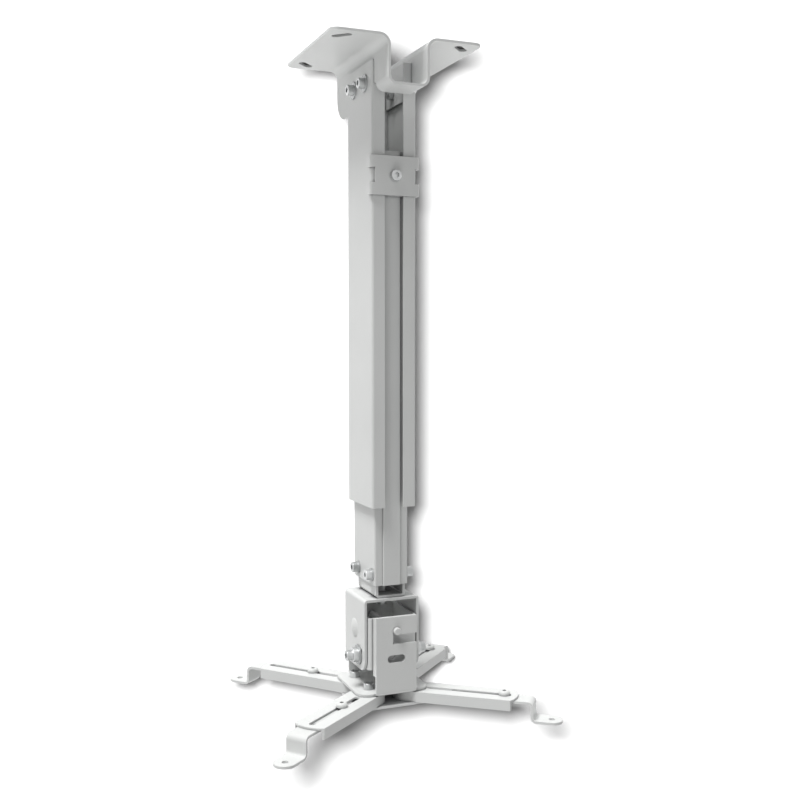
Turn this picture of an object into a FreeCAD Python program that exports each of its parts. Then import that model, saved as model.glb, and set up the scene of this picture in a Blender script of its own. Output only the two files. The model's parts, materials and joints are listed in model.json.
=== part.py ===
import FreeCAD, Part
import math
import os

# Telescopic ceiling mount for a projector. Millimetres, +Z up, -Y is the open front of the tubes.
# The origin is the centre of the ceiling face, on the axis of the tubes, so everything hangs below z = 0.

V = FreeCAD.Vector
X_AXIS = V(1, 0, 0)
Y_AXIS = V(0, 1, 0)
Z_AXIS = V(0, 0, 1)

# Clearances shared by the pieces
FACE_GAP = 0.15       # between flat faces that turn or slide on each other
SIDE_GAP = 0.3        # between nested walls that move
PIN_GAP = 0.05        # radial running fit of a pin in its hole
HOLE_GAP = 0.2        # radial room of a bolt in a clearance hole
CUT_OVER = 1.0        # how far a cutting tool runs past the face it cuts

# Ceiling bracket: one folded hat-shaped sheet
SHEET = 2.0
PLATE_HALF_X = 63.0
PLATE_HALF_Y = 60.5
PLATE_CORNER_R = 7.0
CEILING_SLOT_X = 50.0
CEILING_SLOT_Y = 46.5
CEILING_SLOT_LENGTH = 17.0
CEILING_SLOT_WIDTH = 6.5
TOP_BEND_R = 7.0
WEB_BEND_R = 5.0
WEB_DROP = 38.0
EAR_DROP = 45.5
EAR_CORNER_R = 20.0
EAR_INSIDE_TUBE_DROP = 38.5
WEB_TO_TUBE = 4.0
LIP_SLIT_GAP = 0.5

# Outer tube: a channel with its slot in front
OUTER_X = 38.0
OUTER_Y = 58.0
OUTER_WALL = 1.5
OUTER_TOP_DROP = 12.5
OUTER_LENGTH = 357.0
OUTER_SLOT = 16.2
OUTER_CORNER_R = 2.0
TOP_BOLT_Y = 13.0
TOP_BOLT_DROP = 28.0

# Inner tube: closed, with a raised rib down its front
INNER_X = 29.2
INNER_WALL = 1.5
INNER_RIB_HALF = 7.6
INNER_RIB_RISE = 1.5
INNER_FRONT_SET_BACK = 6.5
INNER_TOP_DROP = 82.0
INNER_LENGTH = 352.5
INNER_CORNER_R = 1.5

# Clamp that holds the inner tube at its height
CLAMP_CENTRE_DROP = 102.5
CLAMP_HEIGHT = 31.0
CLAMP_TAB_HEIGHT = 9.5
CLAMP_TAB_DEPTH = 5.5
CLAMP_WAIST_HALF = 17.0
CLAMP_SHEET = 2.0

# Neck bracket inside the inner tube's foot, and the swivel under it
NECK_SHEET = 2.0
NECK_HEIGHT = 30.0
NECK_BELOW_TUBE = 10.8
NECK_BEND_R = 1.0
NECK_BOLT_Y = 16.0
NECK_BOLT_ABOVE_END = 8.5
SWIVEL_BOLT_R = 4.0
SWIVEL_HEAD_AF = 13.0
SWIVEL_HEAD_H = 5.3
SWIVEL_TIP = 2.5

# Yoke that carries the tilt
YOKE_HALF_X = 24.0
YOKE_HALF_Y = 23.7
YOKE_HEIGHT = 59.5
YOKE_SHEET = 2.0
YOKE_BEND_R = 0.8
YOKE_CORNER_R = 9.0
TILT_AXIS_BELOW_TOP = 28.0
TILT_RIVET_R = 3.0
TILT_RIVET_HEAD_R = 8.0
TILT_RIVET_COLLAR_R = 4.5
TILT_RIVET_COLLAR_H = 1.0
TILT_RIVET_DOME = 1.7
TILT_LOCK_Y = -9.5
TILT_LOCK_BELOW_AXIS = 20.0
TILT_SLOT_HALF_DEG = 17.0

# Tilt bracket: a folded ring inside the yoke
TILT_RING_HALF_Y = 25.5
TILT_RING_ABOVE_AXIS = 13.0
TILT_RING_BELOW_AXIS = 29.5
TILT_RING_SHEET = 2.0
TILT_RING_CORNER_R = 4.0

# Head bracket that hooks on the pin, and the hub under it
PIN_R = 3.0
PIN_ABOVE_AXIS = 3.5
PIN_PROUD = 3.2
PIN_CHAMFER = 0.6
HEAD_HALF_X = 17.7
HEAD_HALF_Y = 34.0
HEAD_SHEET = 2.0
HEAD_ABOVE_PIN = 11.5
HEAD_BELOW_PIN = 53.0
HEAD_BEND_R = 1.2
HOOK_MOUTH_TOP = 3.2
HOOK_MOUTH_BOTTOM = 11.0
ROLL_SLOT_BELOW_PIN = 23.2
ROLL_SLOT_LENGTH = 15.5
ROLL_SLOT_HEIGHT = 6.4
FLANGE_DEPTH = 7.0
FLANGE_BELOW_TOP = 1.0
FLANGE_LENGTH = 47.5
HUB_HALF_X = 31.0
HUB_HALF_Y = 31.8
HUB_CORNER_R = 10.0
PIVOT_X = 18.0
PIVOT_Y = 17.0
LOWER_HUB_HALF_X = 31.0
LOWER_HUB_HALF_Y = 34.0
LOWER_HUB_SHEET = 1.5
LOWER_HUB_CORNER_R = 7.0

# Arms
ARM_WIDTH = 27.0
ARM_HEIGHT = 8.6
ARM_SHEET = 1.5
ARM_LENGTH = 92.0
ARM_END_BULGE = 4.0
ARM_SLOT_START = 16.0
ARM_SLOT_TO_END = 5.5
ARM_SLOT_WIDTH = 5.0

# Feet: a strip in the arm, stepped down to a pad with the projector's hole
FOOT_WIDTH = 17.6
FOOT_SHEET = 2.0
FOOT_PAST_ARM = 28.0
FOOT_STRIP_LENGTH = 84.0
FOOT_RISER_TO_HOLE = 14.0
FOOT_DROP = 17.0
FOOT_BEND_R = 2.5
FOOT_HOLE_R = 2.5
FOOT_NEAR_TAPPING = 39.0
FOOT_FAR_TAPPING = 78.0
FOOT_SCREW_R = 2.0
FOOT_SCREW_HEAD_R = 4.7
FOOT_SCREW_HEAD_H = 3.4
FOOT_SCREW_HEAD_ROUND = 2.0
FOOT_SCREW_SOCKET_AF = 3.0
FOOT_SCREW_SOCKET_DEPTH = 1.8
FOOT_SCREW_LENGTH = 6.0

# Metric five fasteners
BOLT_R = 2.5
BOLT_HEAD_R = 4.25
BOLT_HEAD_H = 5.0
BOLT_HEAD_ROUND = 0.5
BOLT_SOCKET_AF = 4.0
BOLT_SOCKET_DEPTH = 2.6
CLAMP_HEAD_H = 4.0
LOCK_COLLAR_R = 6.0
LOCK_COLLAR_H = 4.8
NUT_AF = 8.0
NUT_H = 4.0
TOP_WASHER_R = 7.0
NECK_WASHER_R = 5.0
LOCK_WASHER_R = 8.0
WASHER_H = 1.2
BOLT_PAST_NUT = 1.0

# Levels worked out from the sizes above
FOOT_REACH = ARM_LENGTH + FOOT_PAST_ARM
OUTER_TOP = -OUTER_TOP_DROP
OUTER_FRONT = -OUTER_Y / 2
OUTER_INSIDE_X = OUTER_X / 2 - OUTER_WALL
OUTER_INSIDE_Y = OUTER_Y / 2 - OUTER_WALL
EAR_OUTSIDE_X = OUTER_INSIDE_X - SIDE_GAP
EAR_INSIDE_X = EAR_OUTSIDE_X - SHEET
WEB_BACK = OUTER_FRONT - WEB_TO_TUBE
INNER_TOP = -INNER_TOP_DROP
INNER_BOTTOM = INNER_TOP - INNER_LENGTH
INNER_FRONT = OUTER_FRONT + INNER_FRONT_SET_BACK
INNER_RIB_FRONT = INNER_FRONT - INNER_RIB_RISE
INNER_BACK = OUTER_INSIDE_Y - SIDE_GAP
INNER_INSIDE_X = INNER_X / 2 - INNER_WALL
CLAMP_Z = -CLAMP_CENTRE_DROP
CLAMP_FRONT = OUTER_FRONT - FACE_GAP - CLAMP_SHEET
NECK_BOTTOM = INNER_BOTTOM - NECK_BELOW_TUBE
NECK_HALF_X = INNER_INSIDE_X - SIDE_GAP
NECK_FRONT = INNER_FRONT + INNER_WALL + SIDE_GAP
NECK_BOLT_Z = INNER_BOTTOM + NECK_BOLT_ABOVE_END
YOKE_TOP = NECK_BOTTOM - FACE_GAP
YOKE_BOTTOM = YOKE_TOP - YOKE_HEIGHT
TILT_Z = YOKE_TOP - TILT_AXIS_BELOW_TOP
TILT_LOCK_Z = TILT_Z - TILT_LOCK_BELOW_AXIS
TILT_RING_HALF_X = YOKE_HALF_X - YOKE_SHEET - SIDE_GAP
PIN_Z = TILT_Z + PIN_ABOVE_AXIS
HEAD_TOP = PIN_Z + HEAD_ABOVE_PIN
HUB_BOTTOM = PIN_Z - HEAD_BELOW_PIN
HUB_TOP = HUB_BOTTOM + HEAD_SHEET
ARM_TOP = HUB_BOTTOM - FACE_GAP
ARM_BOTTOM = ARM_TOP - ARM_HEIGHT
LOWER_HUB_TOP = ARM_BOTTOM - FACE_GAP
LOWER_HUB_BOTTOM = LOWER_HUB_TOP - LOWER_HUB_SHEET
STRIP_TOP = ARM_TOP - ARM_SHEET - FACE_GAP
PAD_BOTTOM = STRIP_TOP - FOOT_DROP

# Each arm: name, side of its pivot in x and y, the direction it is set to about +Z in degrees,
# and the tapping of the foot that its screw uses
ARMS = [
    ("front_left", -1, -1, -141.0, FOOT_FAR_TAPPING),
    ("front_right", 1, -1, -38.0, FOOT_NEAR_TAPPING),
    ("back_left", -1, 1, 130.5, FOOT_FAR_TAPPING),
    ("back_right", 1, 1, 43.5, FOOT_NEAR_TAPPING),
]


def box(x0, x1, y0, y1, z0, z1):
    return Part.makeBox(x1 - x0, y1 - y0, z1 - z0, V(x0, y0, z0))


def rod(radius, start, direction, length):
    return Part.makeCylinder(radius, length, start, direction)


def join(shapes):
    solid = shapes[0]
    for other in shapes[1:]:
        solid = solid.fuse(other)
    return solid.removeSplitter()


def polygon_prism(points, push):
    """A prism from a closed list of 3-D points, pushed along a vector."""
    wire = Part.makePolygon(points + [points[0]])
    return Part.Face(wire).extrude(push)


def edges_at(shape, axis, spots):
    """Straight edges parallel to an axis that pass through any of the given spots in the other two."""
    others = [k for k in range(3) if k != axis]
    found = []
    for edge in shape.Edges:
        if len(edge.Vertexes) != 2:
            continue
        a, b = (vertex.Point for vertex in edge.Vertexes)
        if any(abs(a[k] - b[k]) > 1e-4 for k in others):
            continue
        if any(all(abs(a[k] - spot[i]) < 1e-3 for i, k in enumerate(others)) for spot in spots):
            found.append(edge)
    return found


def round_edges(shape, axis, spots, radius):
    return shape.makeFillet(radius, edges_at(shape, axis, spots))


def hexagon(across_flats, start, direction, height):
    """A hexagonal prism that stands on a point and grows along a direction."""
    radius = across_flats / math.sqrt(3)
    points = []
    for k in range(6):
        angle = math.radians(60 * k + 30)
        points.append(V(radius * math.cos(angle), radius * math.sin(angle), 0))
    prism = polygon_prism(points, V(0, 0, height))
    prism.Placement = FreeCAD.Placement(start, FreeCAD.Rotation(Z_AXIS, direction))
    return prism


def stadium(length, width, centre, along, across, push):
    """A slot shape with round ends: its length runs along one vector, and it is pushed along another."""
    reach = along * (length / 2 - width / 2)
    side = across * (width / 2)
    p1 = centre - reach - side
    p2 = centre + reach - side
    p3 = centre + reach + side
    p4 = centre - reach + side
    tip = along * (length / 2)
    edges = [
        Part.LineSegment(p1, p2).toShape(),
        Part.Arc(p2, centre + tip, p3).toShape(),
        Part.LineSegment(p3, p4).toShape(),
        Part.Arc(p4, centre - tip, p1).toShape(),
    ]
    return Part.Face(Part.Wire(edges)).extrude(push)


def screw_head(radius, height, rounding, base, direction):
    """A round head that stands on a base point, with its outer rim rounded."""
    head = rod(radius, base, direction, height)
    rim = [edge for edge in head.Edges if isinstance(edge.Curve, Part.Circle)
           and (edge.Curve.Center - base).dot(direction) > height / 2]
    return head.makeFillet(rounding, rim)


def socket_bolt(head_base, direction, grip, head_h=BOLT_HEAD_H):
    """A socket-head bolt: its head stands on head_base along the direction, its shank runs the other way."""
    head = screw_head(BOLT_HEAD_R, head_h, BOLT_HEAD_ROUND, head_base, direction)
    shank = rod(BOLT_R, head_base - direction * grip, direction, grip + CUT_OVER)
    socket_floor = head_base + direction * (head_h - BOLT_SOCKET_DEPTH)
    socket = hexagon(BOLT_SOCKET_AF, socket_floor, direction, BOLT_SOCKET_DEPTH + CUT_OVER)
    return head.fuse(shank).cut(socket).removeSplitter()


def collar_bolt(seat, direction, grip):
    """A socket-head bolt with a wide round collar under its head: the collar sits on the seat."""
    bolt = socket_bolt(seat + direction * LOCK_COLLAR_H, direction, grip + LOCK_COLLAR_H)
    collar = screw_head(LOCK_COLLAR_R, LOCK_COLLAR_H, BOLT_HEAD_ROUND, seat, direction)
    return bolt.fuse(collar).removeSplitter()


def nut(start, direction, bore_r=BOLT_R, across_flats=NUT_AF, height=NUT_H):
    body = hexagon(across_flats, start, direction, height)
    bore = rod(bore_r + PIN_GAP, start - direction * CUT_OVER, direction, height + 2 * CUT_OVER)
    return body.cut(bore)


def washer(start, direction, radius):
    body = rod(radius, start, direction, WASHER_H)
    bore = rod(BOLT_R + HOLE_GAP, start - direction * CUT_OVER, direction, WASHER_H + 2 * CUT_OVER)
    return body.cut(bore)


def across_x(y, z, radius, half_length):
    return rod(radius, V(-half_length, y, z), X_AXIS, 2 * half_length)


def across_y(x, z, radius, half_length):
    return rod(radius, V(x, -half_length, z), Y_AXIS, 2 * half_length)


def bracket_fold(side, y0, y1, drop):
    """One side of the bracket's fold: a flange with a rounded bend into a wall of the given drop."""
    outer = side * EAR_OUTSIDE_X
    inner = side * EAR_INSIDE_X
    points = [
        V(side * PLATE_HALF_X, y0, 0),
        V(inner, y0, 0),
        V(inner, y0, -drop),
        V(outer, y0, -drop),
        V(outer, y0, -SHEET),
        V(side * PLATE_HALF_X, y0, -SHEET),
    ]
    fold = polygon_prism(points, V(0, y1 - y0, 0))
    fold = round_edges(fold, 1, [(outer, -SHEET)], TOP_BEND_R)
    return round_edges(fold, 1, [(inner, 0)], TOP_BEND_R + SHEET)


def bracket_front():
    """The front of the bracket, where a web joins the two walls."""
    y0 = -PLATE_HALF_Y
    y1 = WEB_BACK
    left = bracket_fold(-1, y0, y1, WEB_DROP)
    right = bracket_fold(1, y0, y1, WEB_DROP)
    web = box(-EAR_OUTSIDE_X, EAR_OUTSIDE_X, y0, y1, -WEB_DROP, -WEB_DROP + SHEET)
    front = join([left, right, web])
    inside = [(-EAR_INSIDE_X, -WEB_DROP + SHEET), (EAR_INSIDE_X, -WEB_DROP + SHEET)]
    outside = [(-EAR_OUTSIDE_X, -WEB_DROP), (EAR_OUTSIDE_X, -WEB_DROP)]
    front = round_edges(front, 1, inside, WEB_BEND_R)
    return round_edges(front, 1, outside, WEB_BEND_R + SHEET)


def bracket_ear(side):
    """The flange and wall behind the web, with slits from below for the tube's front lip and back wall."""
    slit_reach = OUTER_WALL / 2 + LIP_SLIT_GAP
    slit_y = OUTER_INSIDE_Y + OUTER_WALL / 2
    slit_top = OUTER_TOP + LIP_SLIT_GAP
    bend_top = -WEB_DROP + SHEET + WEB_BEND_R
    below = -EAR_DROP - CUT_OVER
    ear = bracket_fold(side, WEB_BACK, PLATE_HALF_Y, EAR_DROP)
    x0, x1 = sorted((side * (EAR_INSIDE_X - CUT_OVER), side * (EAR_OUTSIDE_X + CUT_OVER)))
    ear = ear.cut(box(x0, x1, WEB_BACK - CUT_OVER, -slit_y, below, bend_top))
    ear = ear.cut(box(x0, x1, -slit_y, slit_y, below, -EAR_INSIDE_TUBE_DROP))
    for y in (-slit_y, slit_y):
        ear = ear.cut(box(x0, x1, y - slit_reach, y + slit_reach, below, slit_top))
    return round_edges(ear, 0, [(PLATE_HALF_Y, -EAR_DROP)], EAR_CORNER_R)


def ceiling_bracket():
    solid = join([bracket_front(), bracket_ear(-1), bracket_ear(1)])
    corners = [(sx * PLATE_HALF_X, sy * PLATE_HALF_Y) for sx in (-1, 1) for sy in (-1, 1)]
    solid = round_edges(solid, 2, corners, PLATE_CORNER_R)
    for sx in (-1, 1):
        for sy in (-1, 1):
            along = V(1, -sx * sy, 0).normalize()
            across = Z_AXIS.cross(along)
            centre = V(sx * CEILING_SLOT_X, sy * CEILING_SLOT_Y, -SHEET - CUT_OVER)
            push = V(0, 0, SHEET + 2 * CUT_OVER)
            solid = solid.cut(stadium(CEILING_SLOT_LENGTH, CEILING_SLOT_WIDTH, centre, along, across, push))
    for y in (-TOP_BOLT_Y, TOP_BOLT_Y):
        solid = solid.cut(across_x(y, -TOP_BOLT_DROP, BOLT_R + HOLE_GAP, OUTER_X))
    return solid


def outer_tube():
    half_x = OUTER_X / 2
    half_y = OUTER_Y / 2
    bottom = OUTER_TOP - OUTER_LENGTH
    solid = box(-half_x, half_x, -half_y, half_y, bottom, OUTER_TOP)
    corners = [(sx * half_x, sy * half_y) for sx in (-1, 1) for sy in (-1, 1)]
    solid = round_edges(solid, 2, corners, OUTER_CORNER_R)
    inside = box(-OUTER_INSIDE_X, OUTER_INSIDE_X, -OUTER_INSIDE_Y, OUTER_INSIDE_Y,
                 bottom - CUT_OVER, OUTER_TOP + CUT_OVER)
    inside_corners = [(sx * OUTER_INSIDE_X, sy * OUTER_INSIDE_Y) for sx in (-1, 1) for sy in (-1, 1)]
    inside = round_edges(inside, 2, inside_corners, OUTER_CORNER_R - OUTER_WALL)
    solid = solid.cut(inside)
    half_slot = OUTER_SLOT / 2
    slot = box(-half_slot, half_slot, -half_y - CUT_OVER, 0, bottom - CUT_OVER, OUTER_TOP + CUT_OVER)
    solid = solid.cut(slot)
    for y in (-TOP_BOLT_Y, TOP_BOLT_Y):
        solid = solid.cut(across_x(y, -TOP_BOLT_DROP, BOLT_R + HOLE_GAP, OUTER_X))
    return solid


def ribbed_profile(inset, z, height):
    """The inner tube's outline with its front rib, drawn in by an inset, as a prism."""
    x = INNER_X / 2 - inset
    rib = INNER_RIB_HALF - inset
    front = INNER_FRONT + inset
    rib_front = INNER_RIB_FRONT + inset
    back = INNER_BACK - inset
    points = [
        V(-x, front, z), V(-rib, front, z), V(-rib, rib_front, z), V(rib, rib_front, z),
        V(rib, front, z), V(x, front, z), V(x, back, z), V(-x, back, z),
    ]
    return polygon_prism(points, V(0, 0, height))


def inner_tube():
    solid = ribbed_profile(0, INNER_BOTTOM, INNER_LENGTH)
    half_x = INNER_X / 2
    corners = [(-half_x, INNER_FRONT), (half_x, INNER_FRONT), (half_x, INNER_BACK), (-half_x, INNER_BACK)]
    solid = round_edges(solid, 2, corners, INNER_CORNER_R)
    ribs = [(-INNER_RIB_HALF, INNER_RIB_FRONT), (INNER_RIB_HALF, INNER_RIB_FRONT)]
    solid = round_edges(solid, 2, ribs, INNER_RIB_RISE / 2)
    solid = solid.cut(ribbed_profile(INNER_WALL, INNER_BOTTOM - CUT_OVER, INNER_LENGTH + 2 * CUT_OVER))
    for y in (-NECK_BOLT_Y, NECK_BOLT_Y):
        solid = solid.cut(across_x(y, NECK_BOLT_Z, BOLT_R + HOLE_GAP, OUTER_X))
    screw_hole = rod(BOLT_R + HOLE_GAP, V(0, CLAMP_FRONT, CLAMP_Z), Y_AXIS, -CLAMP_FRONT)
    return solid.cut(screw_hole)


def clamp_plate():
    """The plate on the outer tube's front, with four tabs that wrap round its sides."""
    wrap = OUTER_X / 2 + SIDE_GAP
    out = wrap + CLAMP_SHEET
    z0 = CLAMP_Z - CLAMP_HEIGHT / 2
    z1 = CLAMP_Z + CLAMP_HEIGHT / 2
    back = CLAMP_FRONT + CLAMP_SHEET
    tab_back = back + CLAMP_TAB_DEPTH
    solid = box(-out, out, CLAMP_FRONT, tab_back, z0, z1)
    solid = round_edges(solid, 2, [(-out, CLAMP_FRONT), (out, CLAMP_FRONT)], CLAMP_SHEET + SIDE_GAP)
    solid = solid.cut(box(-wrap, wrap, back, tab_back + CUT_OVER, z0 - CUT_OVER, z1 + CUT_OVER))
    for side in (-1, 1):
        waist = sorted((side * CLAMP_WAIST_HALF, side * (out + CUT_OVER)))
        solid = solid.cut(box(waist[0], waist[1], CLAMP_FRONT - CUT_OVER, tab_back + CUT_OVER,
                              z0 + CLAMP_TAB_HEIGHT, z1 - CLAMP_TAB_HEIGHT))
    hole = rod(BOLT_R + HOLE_GAP, V(0, CLAMP_FRONT - CUT_OVER, CLAMP_Z), Y_AXIS, CLAMP_SHEET + 2 * CUT_OVER)
    return solid.cut(hole)


def clamp_nut_plate():
    """The tapped plate behind the outer tube's lips, seated on the inner tube's rib."""
    half_x = OUTER_INSIDE_X - SIDE_GAP
    front = OUTER_FRONT + OUTER_WALL + SIDE_GAP
    z0 = CLAMP_Z - CLAMP_HEIGHT / 2
    z1 = CLAMP_Z + CLAMP_HEIGHT / 2
    solid = box(-half_x, half_x, front, INNER_RIB_FRONT, z0, z1)
    thickness = INNER_RIB_FRONT - front
    hole = rod(BOLT_R + PIN_GAP, V(0, front - CUT_OVER, CLAMP_Z), Y_AXIS, thickness + 2 * CUT_OVER)
    return solid.cut(hole)


def clamp_screw():
    grip = INNER_FRONT + INNER_WALL - CLAMP_FRONT
    return socket_bolt(V(0, CLAMP_FRONT, CLAMP_Z), -Y_AXIS, grip, head_h=CLAMP_HEAD_H)


def neck_bracket():
    """A channel folded up inside the inner tube, with the swivel bolt's hole in its web."""
    top = NECK_BOTTOM + NECK_HEIGHT
    back = -NECK_FRONT
    solid = box(-NECK_HALF_X, NECK_HALF_X, NECK_FRONT, back, NECK_BOTTOM, top)
    edge = [(-NECK_HALF_X, NECK_BOTTOM), (NECK_HALF_X, NECK_BOTTOM)]
    solid = round_edges(solid, 1, edge, NECK_BEND_R + NECK_SHEET)
    inside_x = NECK_HALF_X - NECK_SHEET
    inside_z = NECK_BOTTOM + NECK_SHEET
    inside = box(-inside_x, inside_x, NECK_FRONT - CUT_OVER, back + CUT_OVER, inside_z, top + CUT_OVER)
    inside = round_edges(inside, 1, [(-inside_x, inside_z), (inside_x, inside_z)], NECK_BEND_R)
    solid = solid.cut(inside)
    below = V(0, 0, NECK_BOTTOM - CUT_OVER)
    solid = solid.cut(rod(SWIVEL_BOLT_R + PIN_GAP, below, Z_AXIS, NECK_SHEET + 2 * CUT_OVER))
    for y in (-NECK_BOLT_Y, NECK_BOLT_Y):
        solid = solid.cut(across_x(y, NECK_BOLT_Z, BOLT_R + HOLE_GAP, OUTER_X))
    return solid


def swivel_bolt():
    """A hexagon bolt whose head sits on the neck's web and whose end comes out under the yoke."""
    seat = NECK_BOTTOM + NECK_SHEET
    tip = YOKE_TOP - YOKE_SHEET - SWIVEL_HEAD_H - SWIVEL_TIP
    head = hexagon(SWIVEL_HEAD_AF, V(0, 0, seat), Z_AXIS, SWIVEL_HEAD_H)
    return head.fuse(rod(SWIVEL_BOLT_R, V(0, 0, tip), Z_AXIS, seat - tip + CUT_OVER)).removeSplitter()


def swivel_nut():
    under_yoke = V(0, 0, YOKE_TOP - YOKE_SHEET)
    return nut(under_yoke, -Z_AXIS, SWIVEL_BOLT_R, SWIVEL_HEAD_AF, SWIVEL_HEAD_H)


def tilt_slot(x0, x1):
    """The curved slot in a yoke wall that the tilt lock bolt travels in."""
    reach = math.hypot(TILT_LOCK_Y, TILT_LOCK_BELOW_AXIS)
    middle = math.degrees(math.atan2(-TILT_LOCK_BELOW_AXIS, TILT_LOCK_Y))
    half_width = BOLT_R + SIDE_GAP

    def spot(radius, degrees):
        angle = math.radians(degrees)
        return V(x0, radius * math.cos(angle), TILT_Z + radius * math.sin(angle))

    low = middle - TILT_SLOT_HALF_DEG
    high = middle + TILT_SLOT_HALF_DEG
    tip = math.degrees(half_width / reach)
    inner = reach - half_width
    outer = reach + half_width
    edges = [
        Part.Arc(spot(inner, low), spot(inner, middle), spot(inner, high)).toShape(),
        Part.Arc(spot(inner, high), spot(reach, high + tip), spot(outer, high)).toShape(),
        Part.Arc(spot(outer, high), spot(outer, middle), spot(outer, low)).toShape(),
        Part.Arc(spot(outer, low), spot(reach, low - tip), spot(inner, low)).toShape(),
    ]
    return Part.Face(Part.Wire(edges)).extrude(V(x1 - x0, 0, 0))


def yoke():
    """An inverted channel that swivels under the neck, with the tilt pivot and curved slot in its walls."""
    solid = box(-YOKE_HALF_X, YOKE_HALF_X, -YOKE_HALF_Y, YOKE_HALF_Y, YOKE_BOTTOM, YOKE_TOP)
    shoulders = [(-YOKE_HALF_X, YOKE_TOP), (YOKE_HALF_X, YOKE_TOP)]
    solid = round_edges(solid, 1, shoulders, YOKE_BEND_R + YOKE_SHEET)
    corners = [(-YOKE_HALF_Y, YOKE_BOTTOM), (YOKE_HALF_Y, YOKE_BOTTOM)]
    solid = round_edges(solid, 0, corners, YOKE_CORNER_R)
    inside_x = YOKE_HALF_X - YOKE_SHEET
    inside_z = YOKE_TOP - YOKE_SHEET
    inside = box(-inside_x, inside_x, -YOKE_HALF_Y - CUT_OVER, YOKE_HALF_Y + CUT_OVER,
                 YOKE_BOTTOM - CUT_OVER, inside_z)
    inside = round_edges(inside, 1, [(-inside_x, inside_z), (inside_x, inside_z)], YOKE_BEND_R)
    solid = solid.cut(inside)
    below = V(0, 0, inside_z - CUT_OVER)
    solid = solid.cut(rod(SWIVEL_BOLT_R + PIN_GAP, below, Z_AXIS, YOKE_SHEET + 2 * CUT_OVER))
    solid = solid.cut(across_x(0, TILT_Z, TILT_RIVET_R + PIN_GAP, YOKE_HALF_X + CUT_OVER))
    return solid.cut(tilt_slot(-YOKE_HALF_X - CUT_OVER, YOKE_HALF_X + CUT_OVER))


def tilt_rivet(side):
    """A domed rivet through the yoke's wall, on which the tilt bracket turns."""
    outward = X_AXIS * side
    face = V(side * YOKE_HALF_X, 0, TILT_Z)
    ball_r = (TILT_RIVET_HEAD_R ** 2 + TILT_RIVET_DOME ** 2) / (2 * TILT_RIVET_DOME)
    ball = Part.makeSphere(ball_r, face + outward * (TILT_RIVET_DOME - ball_r))
    head = rod(TILT_RIVET_HEAD_R, face, outward, TILT_RIVET_DOME).common(ball)
    inner_face = TILT_RING_HALF_X - TILT_RING_SHEET
    shank_length = YOKE_HALF_X - inner_face + FACE_GAP + TILT_RIVET_COLLAR_H
    shank = rod(TILT_RIVET_R, face - outward * shank_length, outward, shank_length)
    collar_start = V(side * (inner_face - FACE_GAP), 0, TILT_Z)
    collar = rod(TILT_RIVET_COLLAR_R, collar_start, -outward, TILT_RIVET_COLLAR_H)
    return join([head, shank, collar])


def tilt_bracket():
    """A folded ring that turns on the rivets, carries the hook pin and is held by the lock bolts."""
    x = TILT_RING_HALF_X
    y = TILT_RING_HALF_Y
    z0 = TILT_Z - TILT_RING_BELOW_AXIS
    z1 = TILT_Z + TILT_RING_ABOVE_AXIS
    corners = [(sx, sy) for sx in (-1, 1) for sy in (-1, 1)]
    solid = box(-x, x, -y, y, z0, z1)
    solid = round_edges(solid, 2, [(sx * x, sy * y) for sx, sy in corners], TILT_RING_CORNER_R)
    xi = x - TILT_RING_SHEET
    yi = y - TILT_RING_SHEET
    inside = box(-xi, xi, -yi, yi, z0 - CUT_OVER, z1 + CUT_OVER)
    inner_corner_r = TILT_RING_CORNER_R - TILT_RING_SHEET
    inside = round_edges(inside, 2, [(sx * xi, sy * yi) for sx, sy in corners], inner_corner_r)
    solid = solid.cut(inside)
    solid = solid.cut(across_x(0, TILT_Z, TILT_RIVET_R + PIN_GAP, x + CUT_OVER))
    solid = solid.cut(across_x(TILT_LOCK_Y, TILT_LOCK_Z, BOLT_R + HOLE_GAP, x + CUT_OVER))
    solid = solid.cut(across_y(0, PIN_Z, PIN_R + PIN_GAP, y + CUT_OVER))
    return solid.cut(across_y(0, PIN_Z - ROLL_SLOT_BELOW_PIN, BOLT_R, y + CUT_OVER))


def hook_pin():
    """The cross pin that the head bracket's hooks hang on."""
    end = HEAD_HALF_Y + PIN_PROUD
    pin = across_y(0, PIN_Z, PIN_R, end)
    rims = [edge for edge in pin.Edges if isinstance(edge.Curve, Part.Circle)]
    return pin.makeChamfer(PIN_CHAMFER, rims)


def fastener_groups(places, face_x, grip, washer_r, make_bolt=socket_bolt):
    """Bolts, washers and nuts through both side walls at the given (y, z) places, as three groups.
    face_x is the walls' outer face, and grip is how far inside it the nuts seat."""
    bolts = []
    rings = []
    nuts = []
    for y, z in places:
        for mirror in (-1, 1):
            outward = X_AXIS * mirror
            face = V(mirror * face_x, y, z)
            length = WASHER_H + grip + NUT_H + BOLT_PAST_NUT
            bolts.append(make_bolt(face + outward * WASHER_H, outward, length))
            rings.append(washer(face, outward, washer_r))
            nuts.append(nut(face - outward * grip, -outward))
    return Part.makeCompound(bolts), Part.makeCompound(rings), Part.makeCompound(nuts)


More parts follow.
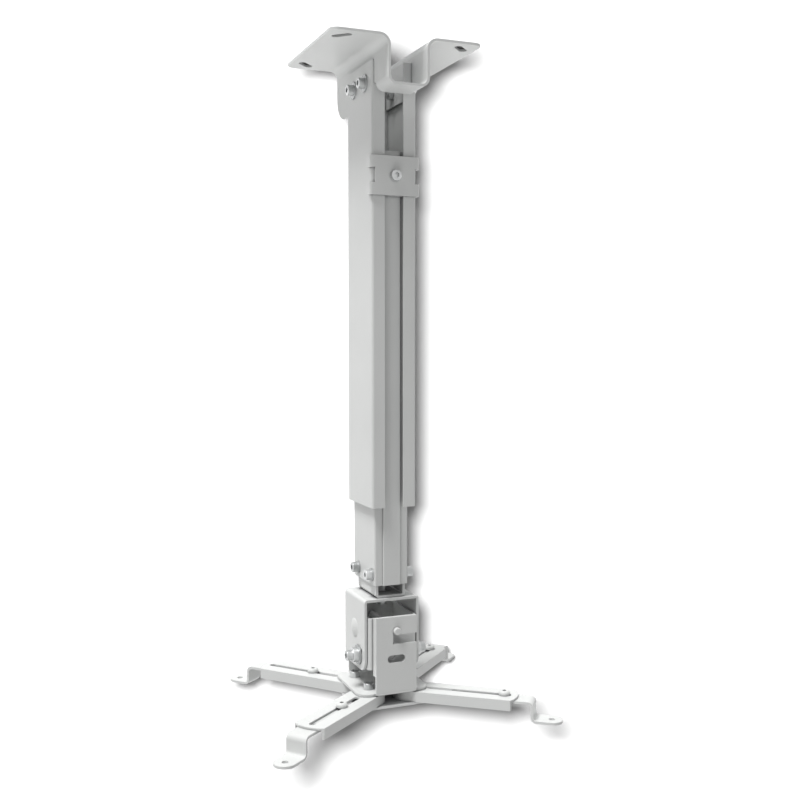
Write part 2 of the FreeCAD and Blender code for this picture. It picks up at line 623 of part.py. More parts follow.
def hook_notch(y0, y1):
    """The notch that lets the head hook over the pin: open to the right, with a round seat at its left."""
    seat_r = PIN_R + PIN_GAP
    right = HEAD_HALF_X + CUT_OVER
    mouth_top = PIN_Z - HOOK_MOUTH_TOP
    mouth_bottom = PIN_Z - HOOK_MOUTH_BOTTOM
    edges = [
        Part.LineSegment(V(right, y0, mouth_bottom), V(-seat_r, y0, mouth_bottom)).toShape(),
        Part.LineSegment(V(-seat_r, y0, mouth_bottom), V(-seat_r, y0, PIN_Z)).toShape(),
        Part.Arc(V(-seat_r, y0, PIN_Z), V(0, y0, PIN_Z + seat_r), V(seat_r, y0, PIN_Z)).toShape(),
        Part.LineSegment(V(seat_r, y0, PIN_Z), V(seat_r, y0, mouth_top)).toShape(),
        Part.LineSegment(V(seat_r, y0, mouth_top), V(right, y0, mouth_top)).toShape(),
        Part.LineSegment(V(right, y0, mouth_top), V(right, y0, mouth_bottom)).toShape(),
    ]
    return Part.Face(Part.Wire(edges)).extrude(V(0, y1 - y0, 0))


def head_bracket():
    """One sheet: front and back uprights with hooks, and a hub plate with wings over the arms."""
    section = [
        V(-HEAD_HALF_X, -HEAD_HALF_Y, HUB_BOTTOM),
        V(-HEAD_HALF_X, HEAD_HALF_Y, HUB_BOTTOM),
        V(-HEAD_HALF_X, HEAD_HALF_Y, HEAD_TOP),
        V(-HEAD_HALF_X, HEAD_HALF_Y - HEAD_SHEET, HEAD_TOP),
        V(-HEAD_HALF_X, HEAD_HALF_Y - HEAD_SHEET, HUB_TOP),
        V(-HEAD_HALF_X, -HEAD_HALF_Y + HEAD_SHEET, HUB_TOP),
        V(-HEAD_HALF_X, -HEAD_HALF_Y + HEAD_SHEET, HEAD_TOP),
        V(-HEAD_HALF_X, -HEAD_HALF_Y, HEAD_TOP),
    ]
    solid = polygon_prism(section, V(2 * HEAD_HALF_X, 0, 0))
    outer_y = HEAD_HALF_Y
    inner_y = HEAD_HALF_Y - HEAD_SHEET
    solid = round_edges(solid, 0, [(-outer_y, HUB_BOTTOM), (outer_y, HUB_BOTTOM)], HEAD_BEND_R + HEAD_SHEET)
    solid = round_edges(solid, 0, [(-inner_y, HUB_TOP), (inner_y, HUB_TOP)], HEAD_BEND_R)
    wings = box(-HUB_HALF_X, HUB_HALF_X, -HUB_HALF_Y, HUB_HALF_Y, HUB_BOTTOM, HUB_TOP)
    corners = [(sx * HUB_HALF_X, sy * HUB_HALF_Y) for sx in (-1, 1) for sy in (-1, 1)]
    wings = round_edges(wings, 2, corners, HUB_CORNER_R)
    pieces = [solid, wings]
    flange_top = HEAD_TOP - FLANGE_BELOW_TOP
    flange_x = -HEAD_HALF_X
    for side in (-1, 1):
        y0, y1 = sorted((side * HEAD_HALF_Y, side * (HEAD_HALF_Y - FLANGE_DEPTH)))
        pieces.append(box(flange_x, flange_x + HEAD_SHEET, y0, y1, flange_top - FLANGE_LENGTH, flange_top))
    solid = join(pieces)
    for side in (-1, 1):
        start = side * HEAD_HALF_Y
        y0, y1 = sorted((start + side * CUT_OVER, start - side * (HEAD_SHEET + CUT_OVER)))
        solid = solid.cut(hook_notch(y0, y1))
        centre = V(0, y0, PIN_Z - ROLL_SLOT_BELOW_PIN)
        push = V(0, y1 - y0, 0)
        solid = solid.cut(stadium(ROLL_SLOT_LENGTH, ROLL_SLOT_HEIGHT, centre, X_AXIS, Z_AXIS, push))
    for sx in (-1, 1):
        for sy in (-1, 1):
            start = V(sx * PIVOT_X, sy * PIVOT_Y, HUB_BOTTOM - CUT_OVER)
            solid = solid.cut(rod(BOLT_R + HOLE_GAP, start, Z_AXIS, HEAD_SHEET + 2 * CUT_OVER))
    return solid


def lower_hub_plate():
    solid = box(-LOWER_HUB_HALF_X, LOWER_HUB_HALF_X, -LOWER_HUB_HALF_Y, LOWER_HUB_HALF_Y,
                LOWER_HUB_BOTTOM, LOWER_HUB_TOP)
    corners = [(sx * LOWER_HUB_HALF_X, sy * LOWER_HUB_HALF_Y) for sx in (-1, 1) for sy in (-1, 1)]
    solid = round_edges(solid, 2, corners, LOWER_HUB_CORNER_R)
    for sx in (-1, 1):
        for sy in (-1, 1):
            start = V(sx * PIVOT_X, sy * PIVOT_Y, LOWER_HUB_BOTTOM - CUT_OVER)
            solid = solid.cut(rod(BOLT_R + HOLE_GAP, start, Z_AXIS, LOWER_HUB_SHEET + 2 * CUT_OVER))
    return solid


def arm_pivots():
    """The four bolts that the arms turn on, with their nuts under the lower hub plate."""
    bolts = []
    nuts = []
    grip = HUB_TOP - LOWER_HUB_BOTTOM + NUT_H + BOLT_PAST_NUT
    for sx in (-1, 1):
        for sy in (-1, 1):
            bolts.append(socket_bolt(V(sx * PIVOT_X, sy * PIVOT_Y, HUB_TOP), Z_AXIS, grip))
            nuts.append(nut(V(sx * PIVOT_X, sy * PIVOT_Y, LOWER_HUB_BOTTOM), -Z_AXIS))
    return Part.makeCompound(bolts), Part.makeCompound(nuts)


def arm_outline(half_width, end, z, height):
    """An arm's plan: a half circle round the pivot, straight sides and a gently bowed outer end."""
    a = V(0, -half_width, z)
    b = V(end - ARM_END_BULGE, -half_width, z)
    c = V(end - ARM_END_BULGE, half_width, z)
    d = V(0, half_width, z)
    edges = [
        Part.LineSegment(a, b).toShape(),
        Part.Arc(b, V(end, 0, z), c).toShape(),
        Part.LineSegment(c, d).toShape(),
        Part.Arc(d, V(-half_width, 0, z), a).toShape(),
    ]
    return Part.Face(Part.Wire(edges)).extrude(V(0, 0, height))


def arm():
    """An inverted channel with a long slot, drawn along +X from its pivot."""
    half = ARM_WIDTH / 2
    solid = arm_outline(half, ARM_LENGTH, ARM_BOTTOM, ARM_HEIGHT)
    inside_half = half - ARM_SHEET
    run_out = ARM_LENGTH + ARM_WIDTH
    depth = ARM_HEIGHT - ARM_SHEET
    inside = arm_outline(inside_half, run_out, ARM_BOTTOM - CUT_OVER, depth + CUT_OVER)
    solid = solid.cut(inside)
    slot_end = ARM_LENGTH - ARM_SLOT_TO_END
    length = slot_end - ARM_SLOT_START
    centre = V((ARM_SLOT_START + slot_end) / 2, 0, ARM_BOTTOM)
    solid = solid.cut(stadium(length, ARM_SLOT_WIDTH, centre, X_AXIS, Y_AXIS, V(0, 0, ARM_HEIGHT + CUT_OVER)))
    return solid.cut(rod(BOLT_R + PIN_GAP, V(0, 0, ARM_BOTTOM), Z_AXIS, ARM_HEIGHT + CUT_OVER))


def foot():
    """A stepped strip: it lies under the arm's top, drops outside the arm and ends in a pad with a hole."""
    start = FOOT_REACH - FOOT_STRIP_LENGTH
    riser = FOOT_REACH - FOOT_RISER_TO_HOLE
    tip = FOOT_REACH + FOOT_WIDTH / 2
    half = FOOT_WIDTH / 2
    under = STRIP_TOP - FOOT_SHEET
    pad_top = PAD_BOTTOM + FOOT_SHEET
    points = [
        V(start, -half, STRIP_TOP), V(riser, -half, STRIP_TOP), V(riser, -half, pad_top),
        V(tip, -half, pad_top), V(tip, -half, PAD_BOTTOM), V(riser - FOOT_SHEET, -half, PAD_BOTTOM),
        V(riser - FOOT_SHEET, -half, under), V(start, -half, under),
    ]
    solid = polygon_prism(points, V(0, FOOT_WIDTH, 0))
    solid = round_edges(solid, 1, [(riser - FOOT_SHEET, under), (riser, pad_top)], FOOT_BEND_R)
    outside = [(riser, STRIP_TOP), (riser - FOOT_SHEET, PAD_BOTTOM)]
    solid = round_edges(solid, 1, outside, FOOT_BEND_R + FOOT_SHEET)
    centre = V((start + tip) / 2, 0, PAD_BOTTOM - CUT_OVER)
    plan = stadium(tip - start, FOOT_WIDTH, centre, X_AXIS, Y_AXIS, V(0, 0, FOOT_DROP + 2 * CUT_OVER))
    solid = solid.common(plan)
    through = FOOT_SHEET + 2 * CUT_OVER
    solid = solid.cut(rod(FOOT_HOLE_R, V(FOOT_REACH, 0, PAD_BOTTOM - CUT_OVER), Z_AXIS, through))
    for tapping in (FOOT_NEAR_TAPPING, FOOT_FAR_TAPPING):
        start_point = V(FOOT_REACH - tapping, 0, under - CUT_OVER)
        solid = solid.cut(rod(FOOT_SCREW_R + PIN_GAP, start_point, Z_AXIS, through))
    return solid


def foot_screw(x):
    """A pan-head screw on top of the arm, through its slot into the foot's tapping."""
    seat = ARM_TOP + FACE_GAP
    head = screw_head(FOOT_SCREW_HEAD_R, FOOT_SCREW_HEAD_H, FOOT_SCREW_HEAD_ROUND, V(x, 0, seat), Z_AXIS)
    shank = rod(FOOT_SCREW_R, V(x, 0, seat - FOOT_SCREW_LENGTH), Z_AXIS, FOOT_SCREW_LENGTH + CUT_OVER)
    socket_floor = V(x, 0, seat + FOOT_SCREW_HEAD_H - FOOT_SCREW_SOCKET_DEPTH)
    socket = hexagon(FOOT_SCREW_SOCKET_AF, socket_floor, Z_AXIS, FOOT_SCREW_SOCKET_DEPTH + CUT_OVER)
    return head.fuse(shank).cut(socket).removeSplitter()


def set_at_pivot(shape, sx, sy, degrees):
    """Turns a piece drawn along +X to its arm's direction and moves it to its pivot."""
    turn = FreeCAD.Rotation(Z_AXIS, degrees)
    placed = shape.copy()
    placed.Placement = FreeCAD.Placement(V(sx * PIVOT_X, sy * PIVOT_Y, 0), turn)
    return placed


def write(name, shape):
    shape.exportStep(os.path.join("parts", name + ".step"))


def write_groups(name, groups):
    """Writes the bolts, washers and nuts of one joint as three nodes."""
    for kind, group in zip(("bolts", "washers", "nuts"), groups):
        write(name + "_" + kind, group)


def main():
    os.makedirs("parts", exist_ok=True)
    write("ceiling_bracket", ceiling_bracket())
    write("outer_tube", outer_tube())
    top_places = [(-TOP_BOLT_Y, -TOP_BOLT_DROP), (TOP_BOLT_Y, -TOP_BOLT_DROP)]
    write_groups("top", fastener_groups(top_places, OUTER_X / 2, OUTER_X / 2 - EAR_INSIDE_X, TOP_WASHER_R))

    write("inner_tube", inner_tube())
    write("clamp_plate", clamp_plate())
    write("clamp_nut_plate", clamp_nut_plate())
    write("clamp_screw", clamp_screw())
    write("neck_bracket", neck_bracket())
    neck_places = [(-NECK_BOLT_Y, NECK_BOLT_Z), (NECK_BOLT_Y, NECK_BOLT_Z)]
    neck_grip = INNER_X / 2 - NECK_HALF_X + NECK_SHEET
    write_groups("neck", fastener_groups(neck_places, INNER_X / 2, neck_grip, NECK_WASHER_R))

    write("swivel_bolt", swivel_bolt())
    write("swivel_nut", swivel_nut())
    write("yoke", yoke())

    write("tilt_rivets", Part.makeCompound([tilt_rivet(-1), tilt_rivet(1)]))
    write("tilt_bracket", tilt_bracket())
    lock_face = YOKE_HALF_X + FACE_GAP
    lock_grip = lock_face - TILT_RING_HALF_X + TILT_RING_SHEET
    lock_places = [(TILT_LOCK_Y, TILT_LOCK_Z)]
    lock_groups = fastener_groups(lock_places, lock_face, lock_grip, LOCK_WASHER_R, collar_bolt)
    write_groups("tilt_lock", lock_groups)
    write("hook_pin", hook_pin())

    write("head_bracket", head_bracket())
    write("lower_hub_plate", lower_hub_plate())
    pivot_bolts, pivot_nuts = arm_pivots()
    write("arm_pivot_bolts", pivot_bolts)
    write("arm_pivot_nuts", pivot_nuts)
    for name, sx, sy, degrees, tapping in ARMS:
        write("arm_" + name, set_at_pivot(arm(), sx, sy, degrees))
        write("foot_" + name, set_at_pivot(foot(), sx, sy, degrees))
        write("foot_screw_" + name, set_at_pivot(foot_screw(FOOT_REACH - tapping), sx, sy, degrees))


main()
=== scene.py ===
import json
import math

import bpy
from mathutils import Euler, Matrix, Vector

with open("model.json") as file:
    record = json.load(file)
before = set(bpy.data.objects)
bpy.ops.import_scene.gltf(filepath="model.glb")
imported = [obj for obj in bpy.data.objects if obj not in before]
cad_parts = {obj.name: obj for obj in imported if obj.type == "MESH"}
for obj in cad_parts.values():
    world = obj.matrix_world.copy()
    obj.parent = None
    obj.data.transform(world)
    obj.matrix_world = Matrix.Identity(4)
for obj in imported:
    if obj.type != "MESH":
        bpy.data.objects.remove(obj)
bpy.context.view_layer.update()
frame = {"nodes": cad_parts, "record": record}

# Camera, solved from the photograph: a square picture on a square sensor
CAMERA_PLACE = Vector((-0.3165, -0.8142, -0.2335))
CAMERA_PITCH_DEG = 86.73
CAMERA_TURN_DEG = -22.27
CAMERA_LENS_MM = 47.16
CAMERA_NEAR = 0.02
CAMERA_FAR = 20.0
SENSOR_MM = 36.0

# Backdrop: a plane square to the camera, behind the furthest reach of the feet
BACKDROP_BEHIND_AXIS = 0.185
BACKDROP_SIZE = 2.6
BACKDROP_WHITE = 0.8
BACKDROP_SEEN_GAIN = 0.45
BACKDROP_BOUNCE = 0.20
BACKDROP_FIBRE_SCALE = 300.0
BACKDROP_FIBRE_SPREAD = 0.01

# The lamp that lights the backdrop alone
SHADOW_LAMP_LEFT = 0.044
SHADOW_LAMP_UP = 0.041
SHADOW_LAMP_SIZE = 0.105
SHADOW_LAMP_WATTS = 37.0

# Studio light on the object
SKY_BELOW = 0.44
SKY_HORIZON = 0.30
SKY_ABOVE = 0.36
SKY_BELOW_UNDER_HEIGHT = -0.6
SKY_ABOVE_OVER_HEIGHT = 0.8
KEY_FROM = Vector((-0.37, -0.12, 0.92))
KEY_STRENGTH = 2.85
KEY_ANGLE_DEG = 20.0
FILL_FROM = Vector((-0.20, -0.36, -0.91))
FILL_STRENGTH = 0.75
FILL_ANGLE_DEG = 40.0

# Cards in the ceiling's plane: one over each slot, a dark sheet of painted shade
# seen through the slot from below, and one over the bracket's channel, which lets half the light
# come down
CARD_ABOVE_FACE = 0.0006
CARD_FIBRE_SCALE = 200.0
CARD_FIBRE_SPREAD = 0.1
SLOT_X = 0.050
SLOT_Y = 0.0465
SLOT_CARD_HALF_LENGTH = 0.0105
SLOT_CARD_HALF_WIDTH = 0.0050
SLOT_SHADE_CARD_GREY = 0.12
CHANNEL_CARD_HALF_X = 0.024
CHANNEL_CARD_HALF_Y = 0.055
CHANNEL_CARD_GREY = 0.75
CHANNEL_CARD_LETS_BY = 0.5

# Powder coat: its colour, faint clouds and orange peel
COAT_COLOUR = (0.735, 0.745, 0.735)
FIXING_COLOUR = (0.72, 0.73, 0.72)
COAT_CLOUD_SCALE = 16.0
COAT_CLOUD_RANGE = (0.3, 0.7)
COAT_CLOUD_TONE = 0.965
COAT_ROUGHNESS = 0.37
COAT_ROUGHNESS_SPREAD = 0.14
COAT_ROUGHNESS_SCALE = 60.0
COAT_SPECULAR = 0.45
COAT_PEEL_SCALE = 900.0
COAT_PEEL_ROUGHNESS = 0.6
COAT_PEEL_BUMP = 0.05
COAT_PEEL_DEPTH = 0.0004

# Powder coat: painted highlights along the edges, and a painted shade line where they face up
EDGE_RADIUS = 0.0009
EDGE_HIGHLIGHT = (0.82, 0.825, 0.82)
EDGE_SHADE_LINE = (0.30, 0.30, 0.30)
EDGE_PAINTED_SHARE = 0.55
EDGE_PAINTED_SPREAD = 0.35
EDGE_GRAIN_SCALE = 420.0
EDGE_GRAIN_RANGE = (0.35, 0.75)
FACING_UP_RANGE = (0.6, 0.95)

# Powder coat: painted shade in seams and deep inside
SEAM_SHADE_GREY = (0.12, 0.12, 0.125)
SEAM_SHADE_SHARE = 0.82
SEAM_REACH = 0.003
SEAM_RANGE = (0.35, 0.85)
CAVITY_SHADE_GREY = (0.20, 0.20, 0.215)
CAVITY_SHADE_SHARE = 0.75
CAVITY_REACH = 0.035
CAVITY_RANGE = (0.08, 0.42)

# Zinc plate
ZINC_COLOUR = (0.66, 0.67, 0.67)
ZINC_DULL = (0.42, 0.43, 0.43)
ZINC_METALLIC = 0.85
ZINC_ROUGHNESS = 0.30
ZINC_ROUGHNESS_SPREAD = 0.18
ZINC_BLOTCH_SCALE = 120.0
ZINC_BLOTCH_RANGE = (0.35, 0.7)
ZINC_STREAK_SCALE = 1500.0
ZINC_STREAK_DEPTH = 0.0002
ZINC_STREAK_BUMP = 0.06
ZINC_EDGE_RADIUS = 0.0004
ZINC_EDGE_SHARE = 0.7
WASHER_ROUGHNESS = 0.40
WASHER_STREAK_BUMP = 0.1

# How the bevel and the closeness nodes look around
EDGE_BEND_RANGE = (0.01, 0.22)
EDGE_SAMPLES = 4
OPENNESS_SAMPLES = 6

# A sheet's corners, as shares of its half sizes
SHEET_CORNERS = ((-1, -1), (1, -1), (1, 1), (-1, 1))


def colour4(rgb):
    return (rgb[0], rgb[1], rgb[2], 1.0)


def grey4(value):
    return (value, value, value, 1.0)


class Nodes:
    """A short way to add and join shader nodes in one material."""

    def __init__(self, tree):
        self.tree = tree
        tree.nodes.clear()

    def add(self, kind, **inputs):
        """Adds a node. An input is named as in the node, or i0, i1 and so on by its place."""
        node = self.tree.nodes.new(kind)
        for key, value in inputs.items():
            self.put(node, key, value)
        return node

    def put(self, node, key, value):
        """A socket is linked, and anything else becomes the input's own value."""
        by_place = key[0] == "i" and key[1:].isdigit()
        socket = node.inputs[int(key[1:]) if by_place else key]
        if isinstance(value, bpy.types.NodeSocket):
            self.tree.links.new(value, socket)
        else:
            socket.default_value = value

    def math(self, operation, a, b=0.0):
        node = self.add("ShaderNodeMath", i0=a, i1=b)
        node.operation = operation
        return node.outputs[0]

    def vector_math(self, operation, a, b):
        node = self.add("ShaderNodeVectorMath", i0=a, i1=b)
        node.operation = operation
        return node.outputs["Value"]

    def noise(self, scale, detail=3.0, roughness=0.5):
        texture = self.add("ShaderNodeTexNoise", Vector=self.place(), Scale=scale, Detail=detail,
                           Roughness=roughness)
        return texture.outputs["Fac"]

    def ramp(self, value, low, high):
        """Value between low and high, spread over 0 to 1."""
        node = self.add("ShaderNodeMapRange", Value=value)
        node.inputs["From Min"].default_value = low
        node.inputs["From Max"].default_value = high
        return node.outputs["Result"]

    def mix(self, factor, a, b):
        node = self.tree.nodes.new("ShaderNodeMix")
        node.data_type = "RGBA"
        for key, value in (("i0", factor), ("i6", a), ("i7", b)):
            self.put(node, key, value)
        return node.outputs[2]

    def spread(self, middle, amount, scale):
        """A value that drifts up from the middle by a share of the noise."""
        return self.math("ADD", middle, self.math("MULTIPLY", self.noise(scale), amount))

    def place(self):
        return self.add("ShaderNodeTexCoord").outputs["Object"]

    def height_of(self, vector):
        return self.add("ShaderNodeSeparateXYZ", Vector=vector).outputs["Z"]

    def geometry(self, output):
        return self.add("ShaderNodeNewGeometry").outputs[output]

    def ray(self, output):
        return self.add("ShaderNodeLightPath").outputs[output]

    def closed_in(self, reach, low, high):
        """0 in the open, rising to 1 in a seam or hollow narrower than the reach."""
        around = self.add("ShaderNodeAmbientOcclusion", Distance=reach)
        around.samples = OPENNESS_SAMPLES
        return self.math("SUBTRACT", 1.0, self.ramp(around.outputs["AO"], low, high))

    def edge(self, radius):
        """1 on a sharp or bent edge, 0 on a flat face."""
        bevel = self.add("ShaderNodeBevel", Radius=radius)
        bevel.samples = EDGE_SAMPLES
        along = self.vector_math("DOT_PRODUCT", bevel.outputs[0], self.geometry("True Normal"))
        return self.ramp(self.math("SUBTRACT", 1.0, along), *EDGE_BEND_RANGE)

    def paper(self, colour, clearness):
        """A dull sheet, clear by the given amount, as the material's surface."""
        sheet = self.add("ShaderNodeBsdfDiffuse", Color=colour).outputs[0]
        clear = self.add("ShaderNodeBsdfTransparent").outputs[0]
        both = self.add("ShaderNodeMixShader", i0=clearness, i1=sheet, i2=clear)
        self.add("ShaderNodeOutputMaterial", Surface=both.outputs[0])

    def finish(self, base, roughness, metallic, height, bump, depth, **more):
        """A coated or bare metal surface with a fine relief, as the material's surface."""
        relief = self.add("ShaderNodeBump", Strength=bump, Distance=depth, Height=height)
        shader = self.add("ShaderNodeBsdfPrincipled", Roughness=roughness, Metallic=metallic,
                          Normal=relief.outputs[0], **{"Base Color": base}, **more)
        self.add("ShaderNodeOutputMaterial", Surface=shader.outputs[0])


def new_material(name):
    material = bpy.data.materials.get(name) or bpy.data.materials.new(name)
    material.use_nodes = True
    return material, Nodes(material.node_tree)


def painted_edge_light(n):
    """Painted highlight, and a painted shade line where the face looks up."""
    facing_up = n.ramp(n.height_of(n.geometry("Normal")), *FACING_UP_RANGE)
    return n.mix(facing_up, colour4(EDGE_HIGHLIGHT), colour4(EDGE_SHADE_LINE))


def painted_edge_share(n):
    """How much painted edge highlight and shade shows: uneven along the edge, none on flat faces.
    """
    grain = n.ramp(n.noise(EDGE_GRAIN_SCALE, 2.0), *EDGE_GRAIN_RANGE)
    share = n.math("ADD", EDGE_PAINTED_SHARE, n.math("MULTIPLY", grain, EDGE_PAINTED_SPREAD))
    return n.math("MULTIPLY", n.edge(EDGE_RADIUS), share)


def powder_coat(name, tone):
    """Baked powder paint: orange peel, faint clouds, painted edge light and shade, painted seam
    and hollow shade.
    """
    material, n = new_material(name)
    cloud = n.ramp(n.noise(COAT_CLOUD_SCALE, 4.0), *COAT_CLOUD_RANGE)
    base = n.mix(cloud, colour4([c * COAT_CLOUD_TONE for c in tone]), colour4(tone))
    # Painted highlight along the edges, and a painted shade line where they face up
    base = n.mix(painted_edge_share(n), base, painted_edge_light(n))
    # Painted shade in seams and hollows, where little light gets in
    for grey, share, reach, span in ((SEAM_SHADE_GREY, SEAM_SHADE_SHARE, SEAM_REACH, SEAM_RANGE),
                                     (CAVITY_SHADE_GREY, CAVITY_SHADE_SHARE, CAVITY_REACH, CAVITY_RANGE)):
        base = n.mix(n.math("MULTIPLY", n.closed_in(reach, *span), share), base, colour4(grey))
    rough = n.spread(COAT_ROUGHNESS, COAT_ROUGHNESS_SPREAD, COAT_ROUGHNESS_SCALE)
    peel = n.noise(COAT_PEEL_SCALE, 2.0, COAT_PEEL_ROUGHNESS)
    n.finish(base, rough, 0.0, peel, COAT_PEEL_BUMP, COAT_PEEL_DEPTH,
             **{"Specular IOR Level": COAT_SPECULAR})
    return material


def plated_steel(name, bright, dull, roughness, streak_bump):
    """Zinc plate: dull blotches, rubbed edges and faint streaks."""
    material, n = new_material(name)
    blotch = n.noise(ZINC_BLOTCH_SCALE, 4.0)
    base = n.mix(n.ramp(blotch, *ZINC_BLOTCH_RANGE), colour4(dull), colour4(bright))
    rubbed = n.math("MULTIPLY", n.edge(ZINC_EDGE_RADIUS), ZINC_EDGE_SHARE)
    base = n.mix(rubbed, base, colour4(bright))
    rough = n.math("ADD", roughness, n.math("MULTIPLY", blotch, ZINC_ROUGHNESS_SPREAD))
    streak = n.noise(ZINC_STREAK_SCALE, 2.0)
    n.finish(base, rough, ZINC_METALLIC, streak, streak_bump, ZINC_STREAK_DEPTH)
    return material


def repaint():
    """Puts the finishes on the frame's own material slots."""
    finishes = {
        "powder_coat": powder_coat("coat_light_grey", COAT_COLOUR),
        "zinc": plated_steel("zinc_bright", ZINC_COLOUR, ZINC_DULL,
                             ZINC_ROUGHNESS, ZINC_STREAK_BUMP),
        "washer_zinc": plated_steel("zinc_dull", ZINC_DULL, ZINC_DULL,
                                    WASHER_ROUGHNESS, WASHER_STREAK_BUMP),
        "coated_fixings": powder_coat("coat_over_fixings", FIXING_COLOUR),
    }
    slots = {row["node"]: row["material_slot"] for row in frame["record"]["subparts"]}
    for name, piece in frame["nodes"].items():
        for slot in piece.material_slots:
            slot.material = finishes[slots[name]]
        if not piece.material_slots:
            piece.data.materials.append(finishes[slots[name]])


def place_new(name, data):
    """A new object in the scene."""
    holder = bpy.data.objects.new(name, data)
    bpy.context.scene.collection.objects.link(holder)
    return holder


def add_camera():
    data = bpy.data.cameras.new("camera")
    data.lens = CAMERA_LENS_MM
    data.sensor_width = SENSOR_MM
    data.clip_start = CAMERA_NEAR
    data.clip_end = CAMERA_FAR
    camera = place_new("camera", data)
    camera.location = CAMERA_PLACE
    camera.rotation_euler = Euler((math.radians(CAMERA_PITCH_DEG), 0.0,
                                   math.radians(CAMERA_TURN_DEG)))
    bpy.context.scene.camera = camera
    bpy.context.view_layer.update()
    return camera


def camera_axes(camera):
    """The camera's right, up and forward directions."""
    turn = camera.matrix_world.to_3x3()
    return turn @ Vector((1, 0, 0)), turn @ Vector((0, 1, 0)), turn @ Vector((0, 0, -1))


def add_sheet(name, centre, side_a, side_b):
    """A flat sheet around its centre, from its two half sides."""
    mesh = bpy.data.meshes.new(name)
    corners = [tuple(centre + side_a * a + side_b * b) for a, b in SHEET_CORNERS]
    mesh.from_pydata(corners, [], [(0, 1, 2, 3)])
    return place_new(name, mesh)


def backdrop_white(n, centre, distance):
    """White to the camera and in mirrors, duller to other rays, and raised to the sides,
    where the lamp's light is weaker."""
    seen = n.math("MAXIMUM", n.ray("Is Camera Ray"), n.ray("Is Glossy Ray"))
    extra = n.math("MULTIPLY", seen, BACKDROP_SEEN_GAIN - BACKDROP_BOUNCE)
    gain = n.math("ADD", BACKDROP_BOUNCE, extra)
    fibre = n.spread(BACKDROP_WHITE, BACKDROP_FIBRE_SPREAD, BACKDROP_FIBRE_SCALE)
    off_centre = n.math("DIVIDE", n.vector_math("DISTANCE", n.place(), tuple(centre)), distance)
    raised = n.math("POWER", n.math("ADD", 1.0, n.math("POWER", off_centre, 2.0)), 2.0)
    return n.math("MULTIPLY", n.math("MULTIPLY", fibre, gain), raised)


def add_backdrop(camera):
    """A white sheet square to the camera. From behind it is clear, so every side can be seen."""
    right, up, forward = camera_axes(camera)
    axis_depth = (Vector((0, 0, CAMERA_PLACE.z)) - CAMERA_PLACE).dot(forward)
    distance = axis_depth + BACKDROP_BEHIND_AXIS
    centre = CAMERA_PLACE + forward * distance
    half = BACKDROP_SIZE / 2
    backdrop = add_sheet("backdrop", centre, right * half, up * half)
    material, n = new_material("backdrop_paper")
    n.paper(backdrop_white(n, centre, distance), n.geometry("Backfacing"))
    backdrop.data.materials.append(material)
    return backdrop


def add_card(name, centre, side_a, side_b, grey, clear_where):
    """A card in the ceiling's plane. The given function says how clear it is."""
    card = add_sheet(name, centre, side_a, side_b)
    material, n = new_material(name + "_paper")
    fibre = n.spread(1.0 - CARD_FIBRE_SPREAD / 2, CARD_FIBRE_SPREAD, CARD_FIBRE_SCALE)
    n.paper(n.math("MULTIPLY", grey, fibre), clear_where(n))
    card.data.materials.append(material)


def clear_from_above(n):
    return n.geometry("Backfacing")


def clear_to_camera(n):
    """Clear to the camera, half clear to light."""
    return n.math("MAXIMUM", n.ray("Is Camera Ray"), CHANNEL_CARD_LETS_BY)


def add_ceiling_cards():
    """Each slot runs square to the line from the plate's middle to it, and so does its card."""
    # Slot cards: painted shade, dark sheets seen through the slots from below
    for row, side in (("front", -1), ("back", 1)):
        for hand, turn in (("left", -1), ("right", 1)):
            centre = Vector((turn * SLOT_X, side * SLOT_Y, CARD_ABOVE_FACE))
            along = Vector((turn * SLOT_Y, -side * SLOT_X, 0.0)).normalized()
            across = Vector((along.y, -along.x, 0.0))
            add_card("card_" + row + "_" + hand, centre, along * SLOT_CARD_HALF_LENGTH,
                     across * SLOT_CARD_HALF_WIDTH, SLOT_SHADE_CARD_GREY, clear_from_above)
    add_card("card_channel", Vector((0.0, 0.0, CARD_ABOVE_FACE)),
             Vector((0.0, CHANNEL_CARD_HALF_Y, 0.0)), Vector((CHANNEL_CARD_HALF_X, 0.0, 0.0)),
             CHANNEL_CARD_GREY, clear_to_camera)


def link_light(lamp, thing, state):
    """Keeps the lamp's light off this thing (EXCLUDE), or on it alone (INCLUDE)."""
    group = bpy.data.collections.new(lamp.name + "_receivers")
    group.objects.link(thing)
    group.collection_objects[0].light_linking.link_state = state
    lamp.light_linking.receiver_collection = group


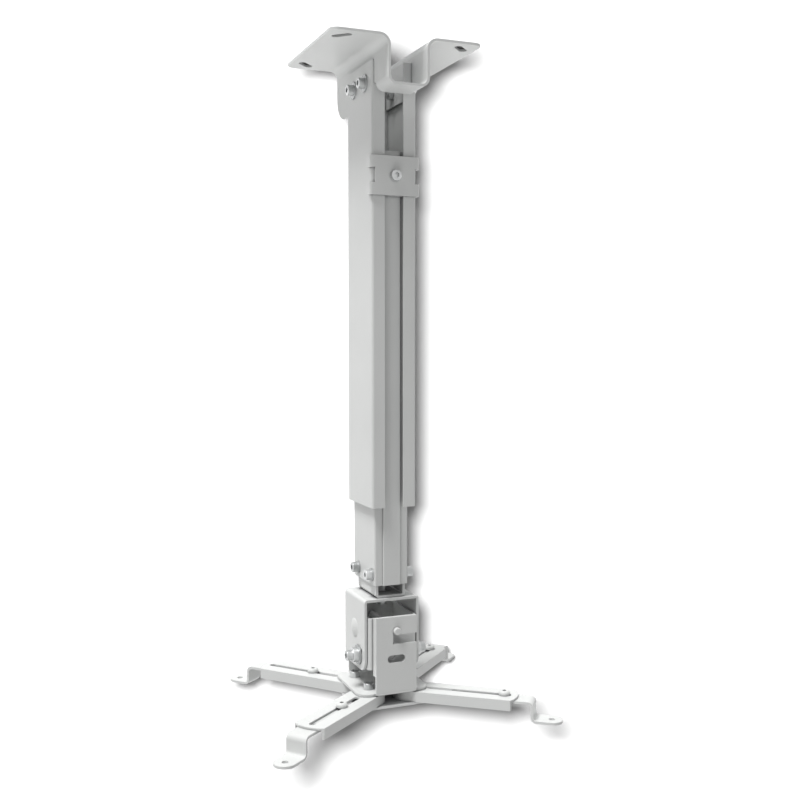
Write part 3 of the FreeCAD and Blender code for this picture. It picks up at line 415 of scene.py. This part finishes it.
def add_shadow_lamp(camera, backdrop):
    """A soft lamp up and left of the camera, so that the object's shadow falls down and right."""
    right, up, _ = camera_axes(camera)
    lamp = bpy.data.lights.new("shadow_lamp", "AREA")
    lamp.shape = "DISK"
    lamp.size = SHADOW_LAMP_SIZE
    lamp.energy = SHADOW_LAMP_WATTS
    holder = place_new("shadow_lamp", lamp)
    holder.location = CAMERA_PLACE - right * SHADOW_LAMP_LEFT + up * SHADOW_LAMP_UP
    holder.rotation_euler = camera.rotation_euler
    link_light(holder, backdrop, "INCLUDE")


def add_sun(name, toward, strength, angle_deg, backdrop):
    """A sun on the object, from the given side, that leaves the backdrop alone."""
    lamp = bpy.data.lights.new(name, "SUN")
    lamp.energy = strength
    lamp.angle = math.radians(angle_deg)
    holder = place_new(name, lamp)
    holder.rotation_euler = (-toward).to_track_quat("-Z", "Y").to_euler()
    link_light(holder, backdrop, "EXCLUDE")


def add_sky():
    """A plain studio sky, lighter from below and above than from the sides. It is white where
    it is seen, also in metal."""
    world = bpy.data.worlds.new("studio")
    world.use_nodes = True
    bpy.context.scene.world = world
    n = Nodes(world.node_tree)
    height = n.height_of(n.add("ShaderNodeTexCoord").outputs["Generated"])
    low = n.ramp(height, SKY_BELOW_UNDER_HEIGHT, 0.0)
    high = n.ramp(height, 0.0, SKY_ABOVE_OVER_HEIGHT)
    glow = n.mix(high, n.mix(low, grey4(SKY_BELOW), grey4(SKY_HORIZON)), grey4(SKY_ABOVE))
    mirrored = n.math("MAXIMUM", n.ray("Is Glossy Ray"), n.ray("Is Transmission Ray"))
    seen = n.math("MAXIMUM", n.ray("Is Camera Ray"), mirrored)
    sky = n.add("ShaderNodeBackground", Color=n.mix(seen, glow, grey4(1.0)), Strength=1.0)
    n.add("ShaderNodeOutputWorld", Surface=sky.outputs[0])


repaint()
camera = add_camera()
backdrop = add_backdrop(camera)
add_ceiling_cards()
add_shadow_lamp(camera, backdrop)
add_sun("key", KEY_FROM, KEY_STRENGTH, KEY_ANGLE_DEG, backdrop)
add_sun("fill", FILL_FROM, FILL_STRENGTH, FILL_ANGLE_DEG, backdrop)
add_sky()
bpy.context.scene.view_settings.view_transform = "Standard"
